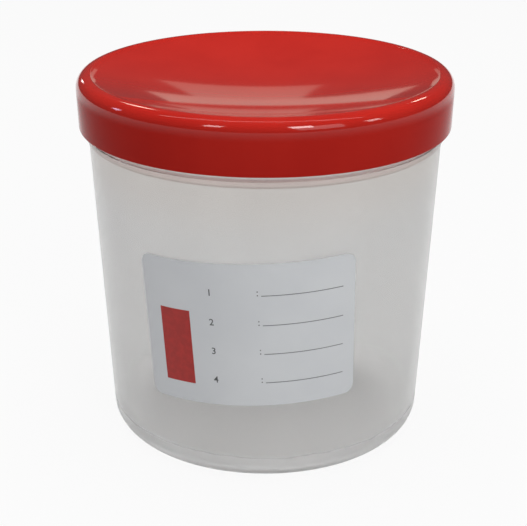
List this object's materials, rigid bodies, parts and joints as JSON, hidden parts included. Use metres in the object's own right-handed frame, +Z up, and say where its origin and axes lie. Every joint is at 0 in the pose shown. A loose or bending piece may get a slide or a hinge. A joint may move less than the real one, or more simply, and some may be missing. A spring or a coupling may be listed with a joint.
{
  "type": "specimen container",
  "caption": "Wide-mouth specimen container: tapered translucent cup with a collar and neck, a red dished screw cap, a soft sealing ring and an adhesive label.",
  "frame": {"origin": "centre of the foot ring, on the surface that the container stands on", "axes": "+Z up along the axis of the cup and the screw cap; the label faces -Y; +X is to the right as the label is read"},
  "size_m": [0.1208, 0.1208, 0.121],
  "materials": {
    "natural_plastic": "translucent natural polypropylene, satin",
    "red_plastic": "glossy moulded polypropylene, red all through",
    "seal": "soft pale elastomer, dull",
    "label_film": "printed adhesive film, satin"
  },
  "bodies": {
    "cup": {"cup": "natural_plastic", "label": "label_film"},
    "seal": {"sealing_ring": "seal"},
    "cap": {"screw_cap": "red_plastic"}
  },
  "joints": [
    {"name": "cap_lift", "type": "slide", "parent": "cup", "child": "seal", "axis": [0, 0, 1], "range_m": [0, 0.0176]},
    {"name": "cap_turn", "type": "hinge", "parent": "seal", "child": "cap", "pos_m": [0, 0, 0.1042], "axis": [0, 0, 1], "range_deg": [0, 1260]}
  ],
  "couplings": [
    {"joint": "cap_lift", "follows": "cap_turn", "m_per_rad": 0.00079577}
  ]
}
